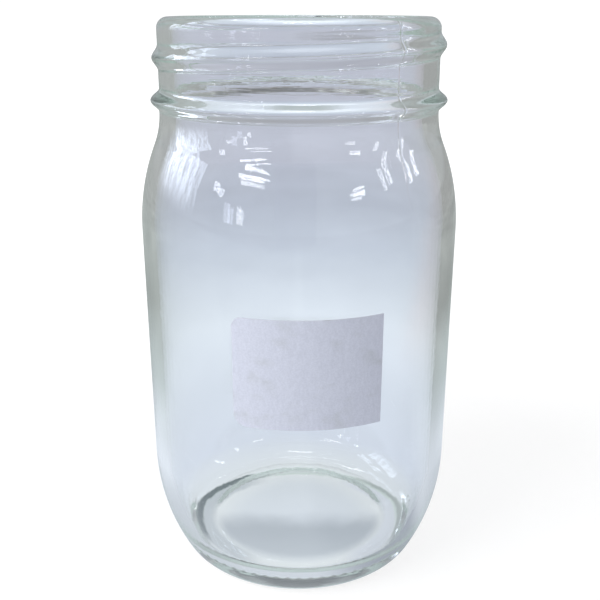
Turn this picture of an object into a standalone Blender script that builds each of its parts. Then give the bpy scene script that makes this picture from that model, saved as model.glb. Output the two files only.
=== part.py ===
"""One-pint glass preserving jar with a screw-thread mouth and a small paper label on its front.

Metres, +Z up. The origin is on the jar's axis, in the plane that the jar stands on.
The front, which carries the label, faces -Y.
"""

import math

import bmesh
import bpy

# Body of the jar
HEIGHT = 0.1365
BODY_RADIUS = 0.0388
BODY_WALL = 0.0031

# Heel: a long sweep draws the body in, then a tight corner turns down to the bearing ring
HEEL_SWEEP_RADIUS = 0.0529
HEEL_SWEEP_ANGLE = math.radians(27.8)
HEEL_CORNER_RADIUS = 0.0048
INNER_CORNER_RADIUS = 0.0100

# Base: a flat bearing ring round a shallow push-up
BEARING_RING_WIDTH = 0.0022
PUSH_UP_RAMP_WIDTH = 0.0045
PUSH_UP_STEP = 0.0008
PUSH_UP_HEIGHT = 0.0016
BASE_THICKNESS = 0.0042

# Shoulder: a curve that swells out of the body and hollows into the neck
SHOULDER_HEIGHT = 0.028
SHOULDER_CONVEX_SHARE = 0.72

# Finish: the neck with its rim and bore
NECK_RADIUS = 0.0330
RIM_RADIUS = 0.0329
BORE_RADIUS = 0.0294
RIM_OUTER_CORNER = 0.0026
RIM_INNER_CORNER = 0.0004

# Bead that a lid's skirt comes down to, measured from the rim
BEAD_DROP = 0.0184
BEAD_FOOT_RADIUS = 0.0332
BEAD_DEPTH = 0.0020
BEAD_HALF_HEIGHT = 0.0026

# Right-handed thread, four turns to the inch, which starts and runs out at the back
THREAD_DROP = 0.0075
THREAD_PITCH = 0.00635
THREAD_DEPTH = 0.0014
THREAD_HALF_HEIGHT = 0.0030
THREAD_EMBED = 0.0004
THREAD_HALF_TURN = math.radians(190)
THREAD_RUN_OUT = math.radians(40)

# Label: a rectangle with two rounded corners on the left, cut straight on the right
LABEL_WIDTH = 0.0342
LABEL_HEIGHT = 0.0262
LABEL_LOW_EDGE = 0.0495
LABEL_OFFSET = 0.0021
LABEL_THICKNESS = 0.00015
LABEL_UPPER_CORNER = 0.0024
LABEL_LOWER_CORNER = 0.0032
LABEL_CLEARANCE = 0.0003

# Fineness of the round surfaces
TURN_SEGMENTS = 60
SWEEP_POINTS = 6
CORNER_POINTS = 4
BEAD_POINTS = 10
THREAD_SECTION_POINTS = 8
LABEL_COLUMNS = 16
LABEL_CORNER_COLUMNS = 5
WELD_DISTANCE = 0.000001
SHARP_ANGLE = math.radians(35)

# Direction of the front, seen from above
FRONT_ANGLE = math.radians(-90)

# Looks
GLASS_COLOUR = (0.93, 0.965, 0.955, 1.0)
GLASS_ROUGHNESS = 0.03
GLASS_TRANSMISSION = 1.0
GLASS_IOR = 1.52
PAPER_COLOUR = (0.76, 0.76, 0.80, 1.0)
PAPER_ROUGHNESS = 0.85


def clear_scene():
    for old in list(bpy.data.objects):
        bpy.data.objects.remove(old, do_unlink=True)


def material(name, colour, roughness, transmission=0.0, ior=None):
    made = bpy.data.materials.new(name)
    made.use_nodes = True
    shader = made.node_tree.nodes["Principled BSDF"]
    shader.inputs["Base Color"].default_value = colour
    shader.inputs["Roughness"].default_value = roughness
    shader.inputs["Metallic"].default_value = 0.0
    shader.inputs["Transmission Weight"].default_value = transmission
    if ior is not None:
        shader.inputs["IOR"].default_value = ior
    return made


def new_object(name, mesh, look):
    """Puts a finished bmesh in the scene as one smooth-shaded object."""
    data = bpy.data.meshes.new(name)
    mesh.to_mesh(data)
    mesh.free()
    data.materials.append(look)
    data.shade_smooth()
    data.set_sharp_from_angle(angle=SHARP_ANGLE)
    made = bpy.data.objects.new(name, data)
    bpy.context.collection.objects.link(made)
    return made


def spread(low, high, count):
    """Evenly spaced values from low to high, both included."""
    return [low + (high - low) * step / (count - 1) for step in range(count)]


def arc(centre, radius, start, end, count):
    """Points (radius from the jar's axis, height) along an arc in the jar's outline."""
    return [
        (centre[0] + radius * math.cos(angle), centre[1] + radius * math.sin(angle))
        for angle in spread(start, end, count)
    ]


def shoulder_curve(low, high):
    """An S of two arcs, upright at both ends, that swells out at low and hollows in to high."""
    drop = low[0] - high[0]
    rise = high[1] - low[1]
    turn = 2 * math.atan2(drop, rise)
    both_radii = rise / math.sin(turn)
    convex = both_radii * SHOULDER_CONVEX_SHARE
    hollow = both_radii - convex
    swell = arc((low[0] - convex, low[1]), convex, 0, turn, SWEEP_POINTS)
    draw_in = arc((high[0] + hollow, high[1]), hollow, math.pi + turn, math.pi, SWEEP_POINTS)
    return swell + draw_in[1:]


def heel_curve(wall_radius, top, floor, sweep_radius, sweep_angle, corner_radius):
    """From the floor's edge out round the corner and up the long sweep to the upright wall."""
    break_r = wall_radius - sweep_radius * (1 - math.cos(sweep_angle))
    corner_r = break_r - corner_radius * math.cos(sweep_angle)
    corner = arc((corner_r, floor + corner_radius), corner_radius, -math.pi / 2, -sweep_angle, CORNER_POINTS)
    sweep = arc((wall_radius - sweep_radius, top), sweep_radius, -sweep_angle, 0, SWEEP_POINTS)
    return corner + sweep[1:]


def raised_cosine(share):
    """1 in the middle and 0 at either end, for a share of the half width from -1 to 1."""
    return math.cos(share * math.pi / 2) ** 2


HEEL_HEIGHT = (HEEL_SWEEP_RADIUS - HEEL_CORNER_RADIUS) * math.sin(HEEL_SWEEP_ANGLE) + HEEL_CORNER_RADIUS
BEAD_MIDDLE = HEIGHT - BEAD_DROP
NECK_START = BEAD_MIDDLE - BEAD_HALF_HEIGHT
SHOULDER_START = NECK_START - SHOULDER_HEIGHT
INNER_RADIUS = BODY_RADIUS - BODY_WALL


def neck_radius_at(height):
    """The neck tapers a little from the bead up to the rim."""
    share = (height - BEAD_MIDDLE) / BEAD_DROP
    return NECK_RADIUS + (RIM_RADIUS - NECK_RADIUS) * share


def outer_outline():
    """From the middle of the base's underside out, up and over to the rim's land."""
    heel = heel_curve(
        BODY_RADIUS, HEEL_HEIGHT, 0, HEEL_SWEEP_RADIUS, HEEL_SWEEP_ANGLE, HEEL_CORNER_RADIUS
    )
    ring_inner = heel[0][0] - BEARING_RING_WIDTH
    ramp_inner = ring_inner - PUSH_UP_RAMP_WIDTH
    dome_rise = PUSH_UP_HEIGHT - PUSH_UP_STEP
    dome = [
        (ramp_inner * share, PUSH_UP_STEP + dome_rise * raised_cosine(share))
        for share in spread(0, 1, CORNER_POINTS)
    ]
    ramp = [
        (ramp_inner + PUSH_UP_RAMP_WIDTH * share, PUSH_UP_STEP * raised_cosine(share))
        for share in spread(0, 1, CORNER_POINTS)
    ]
    shoulder = shoulder_curve((BODY_RADIUS, SHOULDER_START), (BEAD_FOOT_RADIUS, NECK_START))
    bead = []
    for share in spread(-1, 1, BEAD_POINTS + 1):
        height = BEAD_MIDDLE + BEAD_HALF_HEIGHT * share
        foot = NECK_RADIUS + (BEAD_FOOT_RADIUS - NECK_RADIUS) * (1 - share) / 2
        bead.append((foot + BEAD_DEPTH * raised_cosine(share), height))
    rim = arc(
        (RIM_RADIUS - RIM_OUTER_CORNER, HEIGHT - RIM_OUTER_CORNER),
        RIM_OUTER_CORNER, 0, math.pi / 2, CORNER_POINTS,
    )
    return dome + ramp[1:] + heel + shoulder + bead[1:] + rim


def inner_outline():
    """From the rim's land down the bore and the body's inside to the middle of the floor."""
    rim = arc(
        (BORE_RADIUS + RIM_INNER_CORNER, HEIGHT - RIM_INNER_CORNER),
        RIM_INNER_CORNER, math.pi / 2, math.pi, CORNER_POINTS,
    )
    shoulder = shoulder_curve((INNER_RADIUS, SHOULDER_START), (BORE_RADIUS, NECK_START))
    sweep_radius = HEEL_SWEEP_RADIUS - BODY_WALL
    corner_top = BASE_THICKNESS + INNER_CORNER_RADIUS
    sweep_angle = math.asin((HEEL_HEIGHT - corner_top) / (sweep_radius - INNER_CORNER_RADIUS))
    heel = heel_curve(
        INNER_RADIUS, HEEL_HEIGHT, BASE_THICKNESS, sweep_radius, sweep_angle, INNER_CORNER_RADIUS
    )
    floor_edge = heel[0][0]
    floor = [
        (floor_edge * share, BASE_THICKNESS + PUSH_UP_HEIGHT * raised_cosine(share))
        for share in spread(1, 0, CORNER_POINTS)
    ]
    return rim + shoulder[::-1] + heel[::-1] + floor[1:]


def turned(outline):
    """A closed mesh made by turning an outline, which starts and ends on the axis, round it."""
    mesh = bmesh.new()
    corners = [mesh.verts.new((radius, 0, height)) for radius, height in outline]
    edges = [mesh.edges.new(pair) for pair in zip(corners, corners[1:])]
    bmesh.ops.spin(
        mesh, geom=corners + edges, axis=(0, 0, 1), cent=(0, 0, 0),
        angle=math.tau, steps=TURN_SEGMENTS, use_merge=True,
    )
    bmesh.ops.remove_doubles(mesh, verts=mesh.verts[:], dist=WELD_DISTANCE)
    bmesh.ops.recalc_face_normals(mesh, faces=mesh.faces[:])
    return mesh


def thread_section(angle):
    """The thread's cross-section at an angle from the front, as (radius, height) points."""
    height = HEIGHT - THREAD_DROP + THREAD_PITCH * angle / math.tau
    left = min(1.0, (THREAD_HALF_TURN - abs(angle)) / THREAD_RUN_OUT)
    fade = math.sin(left * math.pi / 2)
    points = []
    for share in spread(-1, 1, THREAD_SECTION_POINTS + 1):
        level = height + THREAD_HALF_HEIGHT * share
        swell = (THREAD_DEPTH + THREAD_EMBED) * fade * raised_cosine(share) - THREAD_EMBED
        points.append((neck_radius_at(level) + swell, level))
    root = points[0][0] - THREAD_EMBED
    return [(root, points[0][1])] + points + [(root, points[-1][1])]


def thread():
    """The thread alone, sunk a little into the neck, as one closed strip."""
    mesh = bmesh.new()
    turn_step = math.tau / TURN_SEGMENTS
    step_count = math.floor(2 * THREAD_HALF_TURN / turn_step)
    rings = []
    for step in range(step_count + 1):
        angle = (step - step_count / 2) * turn_step
        around = FRONT_ANGLE + angle
        rings.append([
            mesh.verts.new((radius * math.cos(around), radius * math.sin(around), height))
            for radius, height in thread_section(angle)
        ])
    for ring, following in zip(rings, rings[1:]):
        for index in range(len(ring)):
            after = (index + 1) % len(ring)
            mesh.faces.new((ring[index], ring[after], following[after], following[index]))
    mesh.faces.new(rings[0])
    mesh.faces.new(rings[-1][::-1])
    bmesh.ops.recalc_face_normals(mesh, faces=mesh.faces[:])
    return mesh


def jar_body(glass):
    """The glass: body, bead and thread in one piece."""
    jar = new_object("jar_body", turned(outer_outline() + inner_outline()), glass)
    ridge = new_object("thread_guide", thread(), glass)
    ridge.hide_render = True
    ridge.display_type = "WIRE"
    union = jar.modifiers.new("thread", "BOOLEAN")
    union.operation = "UNION"
    union.solver = "EXACT"
    union.object = ridge
    return jar


def corner_inset(distance, radius):
    """How far a rounded corner draws an edge in, at a distance from the label's left end."""
    missing = max(0.0, radius - distance)
    return radius - math.sqrt(radius ** 2 - missing ** 2)


def label_columns():
    """Distances of the label's upright columns from its left end, closer at the round corners."""
    corner = max(LABEL_UPPER_CORNER, LABEL_LOWER_CORNER)
    round_part = [
        corner * (1 - math.cos(angle))
        for angle in spread(0, math.pi / 2, LABEL_CORNER_COLUMNS + 1)
    ]
    return round_part + spread(corner, LABEL_WIDTH, LABEL_COLUMNS + 1)[1:]


def paper_label(paper):
    """A thin curved sheet against the front of the body."""
    inner = BODY_RADIUS + LABEL_CLEARANCE
    outer = inner + LABEL_THICKNESS
    mesh = bmesh.new()
    columns = []
    for distance in label_columns():
        around = FRONT_ANGLE + (distance - LABEL_WIDTH / 2 + LABEL_OFFSET) / inner
        low = LABEL_LOW_EDGE + corner_inset(distance, LABEL_LOWER_CORNER)
        high = LABEL_LOW_EDGE + LABEL_HEIGHT - corner_inset(distance, LABEL_UPPER_CORNER)
        columns.append([
            mesh.verts.new((radius * math.cos(around), radius * math.sin(around), height))
            for radius, height in ((inner, low), (inner, high), (outer, high), (outer, low))
        ])
    for column, following in zip(columns, columns[1:]):
        for index in range(len(column)):
            after = (index + 1) % len(column)
            mesh.faces.new((column[index], column[after], following[after], following[index]))
    mesh.faces.new(columns[0])
    mesh.faces.new(columns[-1][::-1])
    bmesh.ops.recalc_face_normals(mesh, faces=mesh.faces[:])
    return new_object("paper_label", mesh, paper)


clear_scene()
jar_body(material("clear_glass", GLASS_COLOUR, GLASS_ROUGHNESS, GLASS_TRANSMISSION, GLASS_IOR))
paper_label(material("label_paper", PAPER_COLOUR, PAPER_ROUGHNESS))
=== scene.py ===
"""Dressed view of a glass preserving jar with a small bare paper label on its front.

Metres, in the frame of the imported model: +Z up, the front faces -Y.
"""

import math

import bpy
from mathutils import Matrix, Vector, noise


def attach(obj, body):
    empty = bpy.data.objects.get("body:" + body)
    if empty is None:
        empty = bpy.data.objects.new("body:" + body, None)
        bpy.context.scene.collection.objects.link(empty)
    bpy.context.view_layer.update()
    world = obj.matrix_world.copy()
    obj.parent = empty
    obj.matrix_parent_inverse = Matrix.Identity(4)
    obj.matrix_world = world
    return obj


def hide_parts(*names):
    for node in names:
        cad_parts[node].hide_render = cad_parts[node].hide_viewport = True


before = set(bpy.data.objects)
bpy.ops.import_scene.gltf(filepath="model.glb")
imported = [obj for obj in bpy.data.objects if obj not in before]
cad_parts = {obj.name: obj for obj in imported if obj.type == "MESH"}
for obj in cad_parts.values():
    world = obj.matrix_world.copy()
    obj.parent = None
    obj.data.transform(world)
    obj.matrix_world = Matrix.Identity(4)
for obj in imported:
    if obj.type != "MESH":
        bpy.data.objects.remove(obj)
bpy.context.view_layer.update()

# Sizes of the glass and the label, as in the part's source
HEIGHT = 0.1365
BODY_RADIUS = 0.0388
BODY_WALL = 0.0031
HEEL_SWEEP_RADIUS = 0.0529
HEEL_SWEEP_ANGLE = math.radians(27.8)
HEEL_CORNER_RADIUS = 0.0048
INNER_CORNER_RADIUS = 0.0100
BEARING_RING_WIDTH = 0.0022
PUSH_UP_RAMP_WIDTH = 0.0045
PUSH_UP_STEP = 0.0008
PUSH_UP_HEIGHT = 0.0016
BASE_THICKNESS = 0.0042
SHOULDER_HEIGHT = 0.028
SHOULDER_CONVEX_SHARE = 0.72
NECK_RADIUS = 0.0330
BEAD_FOOT_RADIUS = 0.0332
RIM_RADIUS = 0.0329
BORE_RADIUS = 0.0294
RIM_OUTER_CORNER = 0.0026
RIM_INNER_CORNER = 0.0004
BEAD_DROP = 0.0184
BEAD_DEPTH = 0.0020
BEAD_HALF_HEIGHT = 0.0026
THREAD_DROP = 0.0075
THREAD_PITCH = 0.00635
THREAD_DEPTH = 0.0014
THREAD_HALF_HEIGHT = 0.0030
THREAD_HALF_TURN = math.radians(190)
THREAD_RUN_OUT = math.radians(40)
LABEL_WIDTH = 0.0342
LABEL_HEIGHT = 0.0262
LABEL_LOW_EDGE = 0.0495
LABEL_OFFSET = 0.0021
LABEL_UPPER_CORNER = 0.0024
LABEL_LOWER_CORNER = 0.0032

HEEL_HEIGHT = (HEEL_SWEEP_RADIUS - HEEL_CORNER_RADIUS) * math.sin(HEEL_SWEEP_ANGLE) + HEEL_CORNER_RADIUS
BEAD_MIDDLE = HEIGHT - BEAD_DROP
NECK_START = BEAD_MIDDLE - BEAD_HALF_HEIGHT
SHOULDER_START = NECK_START - SHOULDER_HEIGHT
INNER_RADIUS = BODY_RADIUS - BODY_WALL

# Distances of the dressed label's two faces from the glass
LABEL_BACK_GAP = 0.00006
LABEL_FRONT_GAP = 0.00019

# Fine marks of the mould
MARK_COUNT = 77
MARK_DEPTH = 0.00026
MARK_HALF_WIDTH = 0.00062
MARK_HALF_LENGTH = 0.0005
MARK_RADIUS = 0.0346
MARK_HEIGHT = 0.0066
SEAM_ANGLES = (math.radians(39.5), math.radians(-140.5))
SEAM_HALF_WIDTH = 0.00035
SEAM_HEIGHT = 0.00005
SEAM_FLECK_HEIGHT = 0.00012
SEAM_FLECK_PITCH = 0.0007
SEAM_FADE_START = 0.1050
SEAM_FADE_END = 0.0930

# Slow unevenness of the wall: pitch round the jar, stretch along it, depth, and where its noise starts
OUTER_WAVER = (0.020, 0.06, 0.00004, 3.0)
INNER_WAVER = (0.024, 0.10, 0.00010, 11.0)
WAVER_RADIUS = 0.038
WAVER_FULL_HEIGHT = 0.03
STILL_FLOOR_RADIUS = 0.012
PLAIN_FOOT_HEIGHT = 0.004
PLAIN_RIM_HEIGHT = 0.0005

GLASS_IOR = 1.52
LIGHT_BOUNCES = 96
FLOOR_RADIUS = 6.0
FLOOR_DROP = 0.0001
CARD_AIM_HEIGHT = 0.10
LAMP_AIM_HEIGHT = 0.07

# Colours of the light that the glass mirrors
WINDOW_BLUE = (0.80, 0.87, 1.0)
LAMP_WHITE = (0.95, 0.97, 1.0)
FAR_LAMP_WHITE = (0.93, 0.96, 1.0)
DAY_WHITE = (0.92, 0.95, 1.0)


def spread(low, high, count):
    """Evenly spaced values from low to high, both included."""
    return [low + (high - low) * step / (count - 1) for step in range(count)]


def raised_cosine(share):
    """1 in the middle and 0 at either end, for a share of the half width from -1 to 1."""
    if abs(share) >= 1:
        return 0.0
    return math.cos(share * math.pi / 2) ** 2


def arc(centre, radius, start, end, count):
    """Points (radius from the jar's axis, height) along an arc in the jar's outline."""
    return [
        (centre[0] + radius * math.cos(angle), centre[1] + radius * math.sin(angle))
        for angle in spread(start, end, count)
    ]


def line(start, end, count):
    """Evenly spaced points between two points of the outline, both included."""
    return [
        (start[0] + (end[0] - start[0]) * share, start[1] + (end[1] - start[1]) * share)
        for share in spread(0, 1, count)
    ]


def shoulder_curve(low, high, count):
    """An S of two arcs, upright at both ends, that swells out at low and hollows in to high."""
    drop = low[0] - high[0]
    rise = high[1] - low[1]
    turn = 2 * math.atan2(drop, rise)
    both_radii = rise / math.sin(turn)
    convex = both_radii * SHOULDER_CONVEX_SHARE
    hollow = both_radii - convex
    swell = arc((low[0] - convex, low[1]), convex, 0, turn, count)
    draw_in = arc((high[0] + hollow, high[1]), hollow, math.pi + turn, math.pi, count)
    return swell + draw_in[1:]


def heel_curve(wall_radius, floor, sweep_radius, sweep_angle, corner_radius, count):
    """From the floor's edge out round the corner and up the long sweep to the upright wall."""
    break_r = wall_radius - sweep_radius * (1 - math.cos(sweep_angle))
    corner_r = break_r - corner_radius * math.cos(sweep_angle)
    corner = arc((corner_r, floor + corner_radius), corner_radius, -math.pi / 2, -sweep_angle, count)
    sweep = arc((wall_radius - sweep_radius, HEEL_HEIGHT), sweep_radius, -sweep_angle, 0, count)
    return corner + sweep[1:]


def closer_at_marks(heel):
    """The heel with extra points on the low part of its sweep, where the marks are."""
    low = MARK_HEIGHT - 2 * MARK_HALF_LENGTH
    high = MARK_HEIGHT + 2 * MARK_HALF_LENGTH
    made = [heel[0]]
    for point in heel[1:]:
        near = point[1] > low and made[-1][1] < high
        made += line(made[-1], point, 9 if near else 2)[1:]
    return made


def outer_outline():
    """From the middle of the base's underside out, up and over to the rim's land."""
    heel = heel_curve(BODY_RADIUS, 0, HEEL_SWEEP_RADIUS, HEEL_SWEEP_ANGLE, HEEL_CORNER_RADIUS, 22)
    heel = closer_at_marks(heel)
    ring_inner = heel[0][0] - BEARING_RING_WIDTH
    ramp_inner = ring_inner - PUSH_UP_RAMP_WIDTH
    dome_rise = PUSH_UP_HEIGHT - PUSH_UP_STEP
    dome = [
        (ramp_inner * share, PUSH_UP_STEP + dome_rise * raised_cosine(share))
        for share in spread(0, 1, 12)
    ]
    ramp = [
        (ramp_inner + PUSH_UP_RAMP_WIDTH * share, PUSH_UP_STEP * raised_cosine(share))
        for share in spread(0, 1, 10)
    ]
    ring = line(ramp[-1], heel[0], 8)
    wall = line(heel[-1], (BODY_RADIUS, SHOULDER_START), 16)
    shoulder = shoulder_curve((BODY_RADIUS, SHOULDER_START), (BEAD_FOOT_RADIUS, NECK_START), 18)
    bead = []
    for share in spread(-1, 1, 29):
        height = BEAD_MIDDLE + BEAD_HALF_HEIGHT * share
        foot = NECK_RADIUS + (BEAD_FOOT_RADIUS - NECK_RADIUS) * (1 - share) / 2
        bead.append((foot + BEAD_DEPTH * raised_cosine(share), height))
    rim_middle = (RIM_RADIUS - RIM_OUTER_CORNER, HEIGHT - RIM_OUTER_CORNER)
    rim = arc(rim_middle, RIM_OUTER_CORNER, 0, math.pi / 2, 12)
    neck = line(bead[-1], rim[0], 46)
    return dome + ramp[1:] + ring[1:] + heel[1:] + wall[1:] + shoulder[1:] + bead[1:] + neck[1:] + rim[1:]


def inner_outline():
    """From the rim's land down the bore and the body's inside to the middle of the floor."""
    rim_middle = (BORE_RADIUS + RIM_INNER_CORNER, HEIGHT - RIM_INNER_CORNER)
    rim = arc(rim_middle, RIM_INNER_CORNER, math.pi / 2, math.pi, 7)
    shoulder = shoulder_curve((INNER_RADIUS, SHOULDER_START), (BORE_RADIUS, NECK_START), 16)
    sweep_radius = HEEL_SWEEP_RADIUS - BODY_WALL
    corner_top = BASE_THICKNESS + INNER_CORNER_RADIUS
    sweep_angle = math.asin((HEEL_HEIGHT - corner_top) / (sweep_radius - INNER_CORNER_RADIUS))
    heel = heel_curve(INNER_RADIUS, BASE_THICKNESS, sweep_radius, sweep_angle, INNER_CORNER_RADIUS, 20)
    floor_edge = heel[0][0]
    floor = [
        (floor_edge * share, BASE_THICKNESS + PUSH_UP_HEIGHT * raised_cosine(share))
        for share in spread(1, 0, 16)
    ]
    bore = line(rim[-1], shoulder[-1], 18)
    wall = line(shoulder[0], heel[-1], 16)
    return rim + bore[1:] + shoulder[::-1][1:] + wall[1:] + heel[::-1][1:] + floor[1:]


def column_angles():
    """Angles from the front of the mesh's upright columns, closer where marks and seams are."""
    pitch = math.tau / MARK_COUNT
    mark = MARK_HALF_WIDTH / MARK_RADIUS
    angles = set()
    for index in range(MARK_COUNT):
        middle = -math.pi + pitch * (index + 0.5)
        for share in (-1.15, -0.6, 0, 0.6, 1.15):
            angles.add(round(middle + mark * share, 6))
        for share in (0.3, 0.5, 0.7):
            angles.add(round(middle + pitch * share, 6))
    seam = SEAM_HALF_WIDTH / BODY_RADIUS
    for angle in SEAM_ANGLES:
        angles = {old for old in angles if abs(old - angle) > 1.4 * seam}
        for share in (-1.2, -0.7, -0.35, 0, 0.35, 0.7, 1.2):
            angles.add(round(angle + seam * share, 6))
    return sorted(angles)


def thread_swell(angle, height):
    """How far the thread stands out of the neck at an angle from the front."""
    swell = 0.0
    for turn in (-math.tau, 0, math.tau):
        along = angle + turn
        if abs(along) >= THREAD_HALF_TURN:
            continue
        left = min(1.0, (THREAD_HALF_TURN - abs(along)) / THREAD_RUN_OUT)
        middle = HEIGHT - THREAD_DROP + THREAD_PITCH * along / math.tau
        share = (height - middle) / THREAD_HALF_HEIGHT
        swell = max(swell, THREAD_DEPTH * math.sin(left * math.pi / 2) * raised_cosine(share))
    return swell


def angle_between(first, second):
    """The smaller angle between two directions."""
    return abs((first - second + math.pi) % math.tau - math.pi)


def mark_dent(angle, height):
    """Depth of the stippled marks round the front half of the heel."""
    along = abs(height - MARK_HEIGHT) / MARK_HALF_LENGTH
    if along >= 1 or math.cos(angle) <= 0:
        return 0.0
    pitch = math.tau / MARK_COUNT
    offset = ((angle + math.pi) % pitch - pitch / 2) * MARK_RADIUS / MARK_HALF_WIDTH
    return MARK_DEPTH * raised_cosine(along) * raised_cosine(offset)


def seam_swell(angle, radius, height):
    """How far the two mould seams and the flecks along them stand out of the neck and the shoulder."""
    left = min(1.0, max(0.0, (height - SEAM_FADE_END) / (SEAM_FADE_START - SEAM_FADE_END)))
    fleck = max(0.0, noise.noise(Vector((0, 0, height / SEAM_FLECK_PITCH))))
    swell = 0.0
    for seam in SEAM_ANGLES:
        share = angle_between(angle, seam) * radius / SEAM_HALF_WIDTH
        swell += (SEAM_HEIGHT + SEAM_FLECK_HEIGHT * fleck) * left * raised_cosine(share)
    return swell


def waver(angle, height, pitch, stretch, depth, start):
    """Slow unevenness of moulded glass, stretched along its height."""
    across = math.cos(angle) * WAVER_RADIUS / pitch
    deep = math.sin(angle) * WAVER_RADIUS / pitch
    return depth * noise.noise(Vector((across, deep, height / stretch + start)))


def outer_point(angle, radius, height):
    """A point of the outside, with thread, seams, marks and unevenness."""
    swell = -mark_dent(angle, height)
    if height > NECK_START:
        swell += thread_swell(angle, height)
    if PLAIN_FOOT_HEIGHT < height < HEIGHT - PLAIN_RIM_HEIGHT:
        swell += seam_swell(angle, radius, height)
        swell += waver(angle, height, *OUTER_WAVER) * min(1.0, height / WAVER_FULL_HEIGHT)
    return radius + swell, height


def inner_point(angle, radius, height):
    """A point of the inside, which is less even than the outside."""
    fade = min(1.0, max(0.0, (radius - STILL_FLOOR_RADIUS) / STILL_FLOOR_RADIUS))
    return radius + waver(angle, height, *INNER_WAVER) * fade, height


def new_object(name, data):
    """A new object in the scene."""
    made = bpy.data.objects.new(name, data)
    bpy.context.collection.objects.link(made)
    return made


def turned_mesh(name):
    """The glass as a closed mesh, turned round the axis with its fine marks."""
    outer = outer_outline()
    inner = inner_outline()
    stations = [(point, outer_point) for point in outer] + [(point, inner_point) for point in inner]
    angles = column_angles()
    count = len(angles)
    vertices = []
    for (radius, height), shape in stations[1:-1]:
        for angle in angles:
            out, up = shape(angle, radius, height)
            around = angle - math.pi / 2
            vertices.append((out * math.cos(around), out * math.sin(around), up))
    bottom = len(vertices)
    vertices.append((0, 0, stations[0][0][1]))
    top = len(vertices)
    vertices.append((0, 0, stations[-1][0][1]))
    faces = []
    rings = len(stations) - 2
    for ring in range(rings - 1):
        low = ring * count
        high = low + count
        for column in range(count):
            after = (column + 1) % count
            faces.append((low + column, low + after, high + after, high + column))
    last = (rings - 1) * count
    for column in range(count):
        after = (column + 1) % count
        faces.append((bottom, after, column))
        faces.append((top, last + column, last + after))
    data = bpy.data.meshes.new(name)
    data.from_pydata(vertices, [], faces)
    data.shade_smooth()
    outside = data.attributes.new("outside", "FLOAT", "POINT")
    outer_count = (len(outer) - 1) * count
    outside.data.foreach_set("value", [float(index < outer_count) for index in range(len(vertices))])
    return new_object(name, data)


def corner_inset(distance, radius):
    """How far a rounded corner draws an edge in, at a distance from the label's left end."""
    missing = max(0.0, radius - distance)
    return radius - math.sqrt(radius ** 2 - missing ** 2)


def label_mesh(name):
    """The paper label as a thin curved sheet that lies on the glass."""
    corner = max(LABEL_UPPER_CORNER, LABEL_LOWER_CORNER)
    distances = [corner * (1 - math.cos(angle)) for angle in spread(0, math.pi / 2, 13)]
    distances += spread(corner, LABEL_WIDTH, 60)[1:]
    rows = 40
    sheets = []
    vertices = []
    for gap in (LABEL_BACK_GAP, LABEL_FRONT_GAP):
        radius = BODY_RADIUS + gap
        sheet = []
        for distance in distances:
            low = LABEL_LOW_EDGE + corner_inset(distance, LABEL_LOWER_CORNER)
            high = LABEL_LOW_EDGE + LABEL_HEIGHT - corner_inset(distance, LABEL_UPPER_CORNER)
            around = (distance - LABEL_WIDTH / 2 + LABEL_OFFSET) / BODY_RADIUS - math.pi / 2
            column = []
            for height in spread(low, high, rows):
                column.append(len(vertices))
                vertices.append((radius * math.cos(around), radius * math.sin(around), height))
            sheet.append(column)
        sheets.append(sheet)
    back, front = sheets
    faces = []
    last = len(distances) - 1
    for column in range(last):
        for row in range(rows - 1):
            a, b = front[column][row], front[column + 1][row]
            c, d = front[column + 1][row + 1], front[column][row + 1]
            faces.append((a, b, c, d))
            a, b = back[column][row], back[column + 1][row]
            c, d = back[column + 1][row + 1], back[column][row + 1]
            faces.append((d, c, b, a))
        faces.append((back[column][0], back[column + 1][0], front[column + 1][0], front[column][0]))
        faces.append((front[column][-1], front[column + 1][-1], back[column + 1][-1], back[column][-1]))
    for row in range(rows - 1):
        faces.append((back[0][row], front[0][row], front[0][row + 1], back[0][row + 1]))
        faces.append((front[last][row], back[last][row], back[last][row + 1], front[last][row + 1]))
    data = bpy.data.meshes.new(name)
    data.from_pydata(vertices, [], faces)
    data.shade_smooth()
    data.set_sharp_from_angle(angle=math.radians(40))
    return new_object(name, data)


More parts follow.
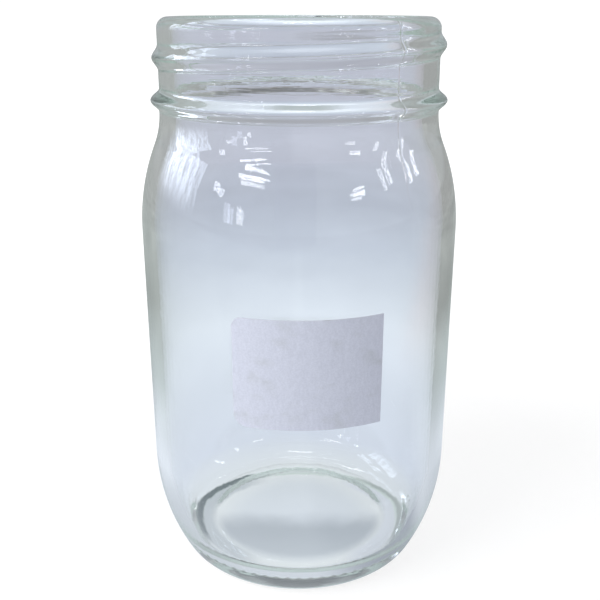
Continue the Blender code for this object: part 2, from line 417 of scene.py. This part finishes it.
class Graph:
    """The nodes of a material or of the world, with the few steps that this script makes them from.

    Each step takes other nodes' outputs, plain numbers or plain colours, and gives its own output.
    """

    def __init__(self, tree):
        self.nodes = tree.nodes
        self.links = tree.links

    def put(self, value, socket):
        """Links another node's output to a socket, or gives the socket a plain number or colour."""
        if isinstance(value, tuple):
            socket.default_value = (*value, 1)
        elif isinstance(value, (int, float)):
            socket.default_value = value
        else:
            self.links.new(value, socket)

    def light_path(self):
        """What a ray of light has been through so far."""
        return self.nodes.new("ShaderNodeLightPath").outputs

    def place(self, kind="Object"):
        """The place that is shaded, or for the world the direction."""
        return self.nodes.new("ShaderNodeTexCoord").outputs[kind]

    def parts(self, vector):
        """The X, Y and Z of a vector."""
        split = self.nodes.new("ShaderNodeSeparateXYZ")
        self.links.new(vector, split.inputs["Vector"])
        return split.outputs["X"], split.outputs["Y"], split.outputs["Z"]

    def length(self, vector):
        """The length of a vector."""
        made = self.nodes.new("ShaderNodeVectorMath")
        made.operation = "LENGTH"
        self.links.new(vector, made.inputs[0])
        return made.outputs["Value"]

    def maths(self, operation, first, second):
        """Two values put through one operation."""
        made = self.nodes.new("ShaderNodeMath")
        made.operation = operation
        self.put(first, made.inputs[0])
        self.put(second, made.inputs[1])
        return made.outputs["Value"]

    def product(self, first, second):
        """Two values multiplied."""
        return self.maths("MULTIPLY", first, second)

    def level(self, value, source, result, smooth=False):
        """One range of a value drawn over another range, and held at its ends."""
        made = self.nodes.new("ShaderNodeMapRange")
        if smooth:
            made.interpolation_type = "SMOOTHSTEP"
        for name, number in zip(("From Min", "From Max", "To Min", "To Max"), (*source, *result)):
            made.inputs[name].default_value = number
        self.links.new(value, made.inputs["Value"])
        return made.outputs["Result"]

    def share(self, value, none, full, least=0.0):
        """The least share, or 0, where a value is at none, and 1 where it is at full."""
        return self.level(value, (none, full), (least, 1.0), smooth=True)

    def noise(self, changes, detail, roughness=0.5):
        """Noise with so many changes a metre along X, Y and Z."""
        stretch = self.nodes.new("ShaderNodeMapping")
        stretch.inputs["Scale"].default_value = changes
        self.links.new(self.place(), stretch.inputs["Vector"])
        made = self.nodes.new("ShaderNodeTexNoise")
        made.inputs["Scale"].default_value = 1.0
        made.inputs["Detail"].default_value = detail
        made.inputs["Roughness"].default_value = roughness
        self.links.new(stretch.outputs["Vector"], made.inputs["Vector"])
        return made.outputs["Fac"]

    def mixed(self, factor, first, second, blend="MIX"):
        """The first colour where the factor is 0; the second or its blend where it is 1 or more."""
        made = self.nodes.new("ShaderNodeMix")
        made.data_type = "RGBA"
        made.blend_type = blend
        self.put(factor, made.inputs["Factor"])
        self.put(first, made.inputs["A"])
        self.put(second, made.inputs["B"])
        return made.outputs["Result"]

    def tinted(self, share, colour, tint):
        """The colour, multiplied by a tint as far as the share goes."""
        return self.mixed(share, colour, tint, "MULTIPLY")

    def uneven(self, colour, scale, low, high):
        """The colour, made uneven by noise between two levels."""
        level = self.level(self.noise((scale, scale, scale), 2.0), (0.35, 0.65), (low, high))
        return self.tinted(1.0, colour, level)

    def moved(self, value, scale, reach):
        """The value, moved up and down by noise by about so much each way."""
        level = self.level(self.noise((scale, scale, scale), 2.0), (0.3, 0.7), (-reach, reach))
        return self.maths("ADD", value, level)

    def ramp(self, value, tones):
        """A colour that follows a value through tones at given positions."""
        made = self.nodes.new("ShaderNodeValToRGB")
        elements = made.color_ramp.elements
        elements[0].position = tones[0][0]
        elements[0].color = (*tones[0][1], 1)
        elements[1].position = tones[-1][0]
        elements[1].color = (*tones[-1][1], 1)
        for position, tone in tones[1:-1]:
            elements.new(position).color = (*tone, 1)
        self.links.new(value, made.inputs["Fac"])
        return made.outputs["Color"]

    def bump(self, height, strength, distance):
        """A surface normal that follows a height."""
        made = self.nodes.new("ShaderNodeBump")
        made.inputs["Strength"].default_value = strength
        made.inputs["Distance"].default_value = distance
        self.links.new(height, made.inputs["Height"])
        return made.outputs["Normal"]

    def emission(self, colour, strength=1.0):
        """A surface that shines by itself."""
        made = self.nodes.new("ShaderNodeEmission")
        self.put(colour, made.inputs["Color"])
        self.put(strength, made.inputs["Strength"])
        return made.outputs["Emission"]

    def mixed_surfaces(self, factor, first, second):
        """The first surface where the factor is 0 and the second where it is 1."""
        made = self.nodes.new("ShaderNodeMixShader")
        self.links.new(factor, made.inputs["Fac"])
        self.links.new(first, made.inputs[1])
        self.links.new(second, made.inputs[2])
        return made.outputs["Shader"]


def new_material(name):
    """A new material, its graph and its plain surface."""
    made = bpy.data.materials.new(name)
    made.use_nodes = True
    graph = Graph(made.node_tree)
    return made, graph, graph.nodes["Principled BSDF"]


def glass_material():
    """Clear soda-lime glass with a faint green depth; its outside is finely streaked at the neck."""
    made, graph, surface = new_material("clear_glass_detail")
    surface.inputs["Base Color"].default_value = (1, 1, 1, 1)
    surface.inputs["Roughness"].default_value = 0.0
    surface.inputs["IOR"].default_value = GLASS_IOR
    surface.inputs["Transmission Weight"].default_value = 1.0
    ripple = graph.product(graph.noise((260, 260, 260), 3.0), 0.22)
    height = graph.parts(graph.place())[2]
    neck = graph.share(height, NECK_START - 0.003, NECK_START + 0.002)
    streaks = graph.product(graph.noise((60, 60, 1100), 3.0), 0.26)
    both = graph.maths("ADD", ripple, graph.product(streaks, neck))
    outside = graph.nodes.new("ShaderNodeAttribute")
    outside.attribute_name = "outside"
    normal = graph.bump(graph.product(both, outside.outputs["Fac"]), 1.0, 0.0001)
    graph.links.new(normal, surface.inputs["Normal"])
    depth = graph.nodes.new("ShaderNodeVolumeAbsorption")
    depth.inputs["Color"].default_value = (0.62, 0.77, 0.66, 1)
    depth.inputs["Density"].default_value = 3.8
    graph.links.new(depth.outputs["Volume"], graph.nodes["Material Output"].inputs["Volume"])
    return made


def paper_material():
    """Matt white label paper with fine fibres and a little uneven wear."""
    made, graph, surface = new_material("label_paper_detail")
    surface.inputs["Roughness"].default_value = 0.8
    fibres = graph.noise((1400, 1400, 500), 3.0)
    paper = graph.mixed(fibres, (0.545, 0.555, 0.62), (0.64, 0.65, 0.715))
    worn = graph.share(graph.noise((160, 160, 240), 4.0), 0.50, 0.85)
    tone = graph.mixed(worn, paper, (0.50, 0.51, 0.535))
    tone = graph.uneven(tone, 2600.0, 0.95, 1.03)
    graph.links.new(tone, surface.inputs["Base Color"])
    graph.links.new(graph.bump(fibres, 0.3, 0.00005), surface.inputs["Normal"])
    return made


def oval(graph, across, along, half_width, back, front):
    """1 on an oval round the jar's axis, less inside it and more outside."""
    sideways = graph.product(across, 1 / half_width)
    lengthways = graph.maths("MAXIMUM", graph.product(along, 1 / back), graph.product(along, -1 / front))
    both = graph.nodes.new("ShaderNodeCombineXYZ")
    graph.links.new(sideways, both.inputs["X"])
    graph.links.new(lengthways, both.inputs["Y"])
    return graph.length(both.outputs["Vector"])


def under_the_base(graph, across, along, tone):
    """The floor's tone with shades painted on it under the base: round the push-up's dish, over its front
    half and along the bearing ring.
    """
    dish = oval(graph, across, along, 0.0248, 0.0185, 0.0200)
    ring = oval(graph, across, along, 0.0310, 0.0232, 0.0310)
    # Painted shade on the band between the dish and the ring, deeper on the left than on the right.
    between = graph.product(graph.share(dish, 0.96, 1.06), graph.share(ring, 0.99, 0.93))
    left = graph.product(between, graph.share(across, -0.008, -0.018))
    tone = graph.mixed(left, tone, (0.51, 0.57, 0.62))
    right = graph.product(between, graph.share(across, 0.010, 0.018))
    tone = graph.mixed(right, tone, (0.70, 0.76, 0.84))
    # Painted shade over the front half of the dish, with an uneven edge, deepest towards the front.
    uneven_edge = graph.share(graph.moved(along, 110.0, 0.0012), 0.003, -0.0075)
    lower = graph.product(uneven_edge, graph.share(dish, 1.06, 0.85))
    deep = graph.mixed(graph.share(along, -0.020, -0.006), (0.52, 0.58, 0.64), (0.455, 0.51, 0.57))
    tone = graph.mixed(lower, tone, deep)
    # Painted shade along the ring: grey-green over the back, a dark contact shadow on the left and a thin
    # darker line on the right, all fading out at the front.
    band = graph.product(graph.share(ring, 0.93, 0.97), graph.share(ring, 1.065, 1.025))
    back = graph.product(band, graph.share(along, -0.012, 0.0))
    tone = graph.mixed(back, tone, (0.60, 0.70, 0.69))
    behind = graph.product(band, graph.share(along, -0.020, -0.011))
    dark_side = graph.product(behind, graph.share(across, -0.006, -0.017))
    tone = graph.mixed(dark_side, tone, (0.09, 0.125, 0.14))
    thin = graph.product(graph.share(ring, 0.97, 1.0), behind)
    thin_side = graph.product(thin, graph.share(across, 0.012, 0.026))
    return graph.mixed(thin_side, tone, (0.40, 0.46, 0.46))


def label_shadow(graph, across, along):
    """The soft shade that the label leaves on the floor behind the jar."""
    width = graph.product(graph.share(across, -0.037, -0.008), graph.share(across, 0.044, 0.014))
    depth = graph.product(graph.share(along, 0.080, 0.105), graph.share(along, 0.172, 0.145))
    return graph.product(width, depth)


def many_mirrors(graph, path):
    """1 for light that has run to and fro in the glass, which comes from all sides."""
    return graph.share(path["Glossy Depth"], 4.0, 12.0)


def floor_seen_through(graph, place, reach, across, along):
    """The floor's pale lilac tone where it shows through the glass, with light and shade painted in round
    and under the jar.
    """
    # Painted light and shade by distance from the axis: lighter near the base's edge, a painted shadow
    # just round the jar, brightest at about 16 cm and darker far out.
    tone = graph.ramp(reach, [
        (0.0, (0.75, 0.82, 0.90)),
        (0.015, (0.70, 0.77, 0.84)),
        (0.0235, (0.79, 0.85, 0.88)),
        (0.05, (0.70, 0.77, 0.89)),
        (0.16, (0.82, 0.90, 1.0)),
        (0.28, (0.62, 0.69, 0.81)),
        (0.42, (0.50, 0.55, 0.66)),
        (0.95, (0.55, 0.58, 0.69)),
    ])
    tone = under_the_base(graph, across, along, tone)
    tone = graph.mixed(label_shadow(graph, across, along), tone, (0.49, 0.55, 0.57))
    direction = graph.nodes.new("ShaderNodeVectorMath")
    direction.operation = "NORMALIZE"
    graph.links.new(place, direction.inputs[0])
    aside = graph.parts(direction.outputs["Vector"])[0]
    warm = graph.product(graph.share(aside, 0.34, 0.50), graph.share(reach, 0.10, 0.20))
    tone = graph.tinted(warm, tone, (1.03, 0.95, 0.93))
    return graph.uneven(tone, 9.0, 0.97, 1.03)


def floor_in_mirror(graph, reach, across, along):
    """The floor's grey-green tone where it is mirrored in the glass."""
    tone = graph.ramp(reach, [
        (0.0, (0.55, 0.60, 0.66)),
        (0.035, (0.57, 0.62, 0.68)),
        (0.07, (0.74, 0.80, 0.88)),
        (0.13, (0.47, 0.53, 0.54)),
        (0.22, (0.41, 0.45, 0.44)),
        (0.85, (0.41, 0.435, 0.43)),
    ])
    # Painted shade: the mirrored floor is darker just in front of the jar on its right.
    low_right = graph.product(graph.share(across, 0.003, 0.020), graph.share(along, -0.004, -0.014))
    tone = graph.tinted(low_right, tone, (0.60, 0.61, 0.64))
    tone = graph.tinted(graph.share(across, 0.09, 0.16), tone, (0.88, 0.86, 0.86))
    tone = graph.mixed(graph.share(along, -0.45, -0.80), tone, (0.22, 0.205, 0.20))
    return graph.uneven(tone, 8.0, 0.84, 1.14)


def floor_material():
    """White to the camera; seen through the glass pale lilac, and mirrored in it grey-green."""
    made, graph, surface = new_material("floor")
    graph.nodes.remove(surface)
    path = graph.light_path()
    place = graph.place()
    reach = graph.length(place)
    across, along, _ = graph.parts(place)
    through = floor_seen_through(graph, place, reach, across, along)
    tone = graph.mixed(path["Glossy Depth"], through, floor_in_mirror(graph, reach, across, along))
    tone = graph.mixed(many_mirrors(graph, path), tone, (0.62, 0.68, 0.73))
    glow = graph.emission((1.0, 1.0, 1.0), graph.level(reach, (0.10, 0.40), (0.80, 1.05)))
    matt = graph.nodes.new("ShaderNodeBsdfDiffuse")
    matt.inputs["Color"].default_value = (0.25, 0.25, 0.25, 1)
    white = graph.nodes.new("ShaderNodeAddShader")
    graph.links.new(glow, white.inputs[0])
    graph.links.new(matt.outputs["BSDF"], white.inputs[1])
    seen = graph.mixed_surfaces(path["Is Camera Ray"], graph.emission(tone), white.outputs["Shader"])
    graph.links.new(seen, graph.nodes["Material Output"].inputs["Surface"])
    return made


def make_floor():
    """A wide round floor just under the plane that the jar stands on."""
    vertices = [(0, 0, 0)]
    count = 96
    for index in range(count):
        angle = math.tau * index / count
        vertices.append((FLOOR_RADIUS * math.cos(angle), FLOOR_RADIUS * math.sin(angle), 0))
    faces = [(0, 1 + index, 1 + (index + 1) % count) for index in range(count)]
    data = bpy.data.meshes.new("floor")
    data.from_pydata(vertices, [], faces)
    data.materials.append(floor_material())
    floor = new_object("floor", data)
    floor.location.z = -FLOOR_DROP


def make_world():
    """White to the camera and even light for matt surfaces; the glass sees a pale grey room."""
    world = bpy.data.worlds.new("room")
    bpy.context.scene.world = world
    world.use_nodes = True
    graph = Graph(world.node_tree)
    path = graph.light_path()
    height = graph.parts(graph.place("Generated"))[2]
    through = graph.ramp(height, [
        (0.0, (0.53, 0.56, 0.66)),
        (0.14, (0.52, 0.55, 0.64)),
        (0.30, (0.48, 0.50, 0.58)),
        (0.45, (0.36, 0.37, 0.40)),
        (1.0, (0.44, 0.46, 0.49)),
    ])
    inside = graph.ramp(height, [
        (0.0, (0.42, 0.44, 0.435)),
        (0.45, (0.42, 0.44, 0.45)),
        (0.70, (0.15, 0.16, 0.175)),
        (0.88, (0.17, 0.18, 0.20)),
        (1.0, (0.48, 0.50, 0.54)),
    ])
    ceiling = graph.mixed(graph.share(height, 0.85, 1.0), (0.42, 0.44, 0.46), (4.6, 4.8, 5.1))
    mirrored = graph.mixed(path["Transmission Depth"], ceiling, inside)
    room = graph.mixed(path["Glossy Depth"], through, mirrored)
    from_all_sides = graph.ramp(height, [
        (0.0, (0.62, 0.67, 0.71)),
        (0.60, (0.62, 0.67, 0.71)),
        (0.74, (0.34, 0.37, 0.39)),
        (0.90, (0.78, 0.84, 0.90)),
        (1.0, (0.78, 0.84, 0.90)),
    ])
    room = graph.mixed(many_mirrors(graph, path), room, from_all_sides)
    room = graph.uneven(room, 2.4, 0.85, 1.15)
    lit = graph.mixed(path["Diffuse Depth"], room, (0.65, 0.66, 0.68))
    seen = graph.mixed(path["Is Camera Ray"], lit, (1.05, 1.05, 1.05))
    graph.links.new(seen, graph.nodes["Background"].inputs["Color"])


def face_the_jar(thing, azimuth, elevation, distance, aim_height):
    """Puts a thing at a distance from a point on the jar's axis and turns it to face that point.

    The azimuth is counted from the front towards the jar's right and the elevation up from level,
    both in degrees.
    """
    around = math.radians(azimuth) - math.pi / 2
    up = math.radians(elevation)
    away = Vector((math.cos(around) * math.cos(up), math.sin(around) * math.cos(up), math.sin(up)))
    thing.location = away * distance + Vector((0, 0, aim_height))
    thing.rotation_euler = (-away).to_track_quat("-Z", "Y").to_euler()


def card_material(name, half_height, colour, strength, grain, fade):
    """The broken light of a card; see card for the grain and the fade."""
    made, graph, surface = new_material(name)
    graph.nodes.remove(surface)
    across, along, least = grain
    light = graph.share(graph.noise((across, along, 1), 5.0, 0.65), 0.44, 0.52, least)
    if fade:
        height = graph.parts(graph.place())[1]
        light = graph.product(light, graph.share(height, -half_height, half_height * (2 * fade - 1)))
    first_mirrors = graph.share(graph.light_path()["Glossy Depth"], 2.5, 1.5)
    clear = graph.nodes.new("ShaderNodeBsdfTransparent")
    glow = graph.emission(colour, strength)
    seen = graph.mixed_surfaces(graph.product(light, first_mirrors), clear.outputs["BSDF"], glow)
    graph.links.new(seen, graph.nodes["Material Output"].inputs["Surface"])
    return made


def card(name, azimuth, elevation, distance, width, height, colour, strength, grain, fade=0.0):
    """A bright panel that only glass sees, turned to face the jar.

    Its light is broken up by a grain of (across, up) changes a metre down to a lowest share,
    and can fade to nothing over a share of its height, from below.
    """
    half_w = width / 2
    half_h = height / 2
    data = bpy.data.meshes.new(name)
    corners = [(-half_w, -half_h, 0), (half_w, -half_h, 0), (half_w, half_h, 0), (-half_w, half_h, 0)]
    data.from_pydata(corners, [], [(0, 1, 2, 3)])
    data.materials.append(card_material(name, half_h, colour, strength, grain, fade))
    panel = new_object(name, data)
    face_the_jar(panel, azimuth, elevation, distance, CARD_AIM_HEIGHT)
    panel.visible_camera = False
    panel.visible_diffuse = False
    panel.visible_shadow = False


def lamp(name, azimuth, elevation, distance, width, power, colour):
    """A soft square light for the paper and the floor, which the glass doesn't mirror."""
    data = bpy.data.lights.new(name, "AREA")
    data.size = width
    data.energy = power
    data.color = colour
    made = new_object(name, data)
    face_the_jar(made, azimuth, elevation, distance, LAMP_AIM_HEIGHT)
    made.visible_glossy = False
    made.visible_transmission = False


def make_camera():
    """The photograph's camera, as fitted to the jar's outline."""
    data = bpy.data.cameras.new("camera")
    data.sensor_width = 36.0
    data.lens = 49.96
    data.clip_start = 0.01
    camera = new_object("camera", data)
    camera.location = (0.00024, -0.20409, 0.13875)
    camera.rotation_euler = (math.radians(90 - 19.45), 0, 0)
    bpy.context.scene.camera = camera


scene = bpy.context.scene
scene.view_settings.view_transform = "Standard"
scene.cycles.max_bounces = LIGHT_BOUNCES
scene.cycles.transmission_bounces = LIGHT_BOUNCES
scene.cycles.glossy_bounces = LIGHT_BOUNCES

glass = turned_mesh("jar_glass")
glass.data.materials.append(glass_material())
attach(glass, "root")
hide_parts("jar_body")

label = label_mesh("label_sheet")
label.data.materials.append(paper_material())
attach(label, "root")
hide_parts("paper_label")

make_floor()
make_world()

# Name, azimuth, elevation, distance, width, height, colour, strength, grain and fade of each card
card("window_pane_left", -115, 40, 1.3, 0.22, 0.20, WINDOW_BLUE, 6.0, (9, 5, 0.4))
card("window_pane_right", -91, 40, 1.3, 0.36, 0.20, WINDOW_BLUE, 6.0, (9, 5, 0.4))
card("window_low", -104, 13, 1.2, 0.86, 0.62, (0.78, 0.86, 1.0), 5.2, (13, 3.5, 0.3), 0.6)
card("strip_left_high", -33, 30.2, 1.5, 0.46, 0.035, LAMP_WHITE, 18.0, (20, 140, 0))
card("strip_left", -37, 26, 1.5, 0.50, 0.065, LAMP_WHITE, 18.0, (20, 140, 0.05))
card("small_left", -62, 17, 1.4, 0.11, 0.11, (0.88, 0.92, 1.0), 14.0, (40, 90, 0))
card("small_left_low", -51, 7, 1.4, 0.12, 0.22, (0.80, 0.85, 1.0), 5.5, (50, 60, 0.1))
card("small_left_end", -42, 7, 1.4, 0.08, 0.20, DAY_WHITE, 12.0, (50, 60, 0))
card("strip_overhead", 0, 81, 1.5, 0.40, 0.12, FAR_LAMP_WHITE, 16.0, (12, 60, 0.1))
card("strip_behind", -158, 56, 1.5, 0.34, 0.10, FAR_LAMP_WHITE, 16.0, (12, 60, 0.1))
card("window_right", 98, 24, 1.4, 0.10, 0.6, DAY_WHITE, 11.0, (40, 16, 0))
card("strip_right", 70, 22, 1.4, 0.10, 0.30, DAY_WHITE, 10.0, (44, 22, 0))
card("small_right_high", 44, 19.6, 1.4, 0.21, 0.04, LAMP_WHITE, 16.0, (22, 110, 0.1))
card("small_right", 44, 17.2, 1.4, 0.21, 0.04, LAMP_WHITE, 16.0, (22, 110, 0.1))
lamp("soft_left", -60, 36, 0.9, 0.6, 7.5, (0.97, 0.98, 1.0))
make_camera()
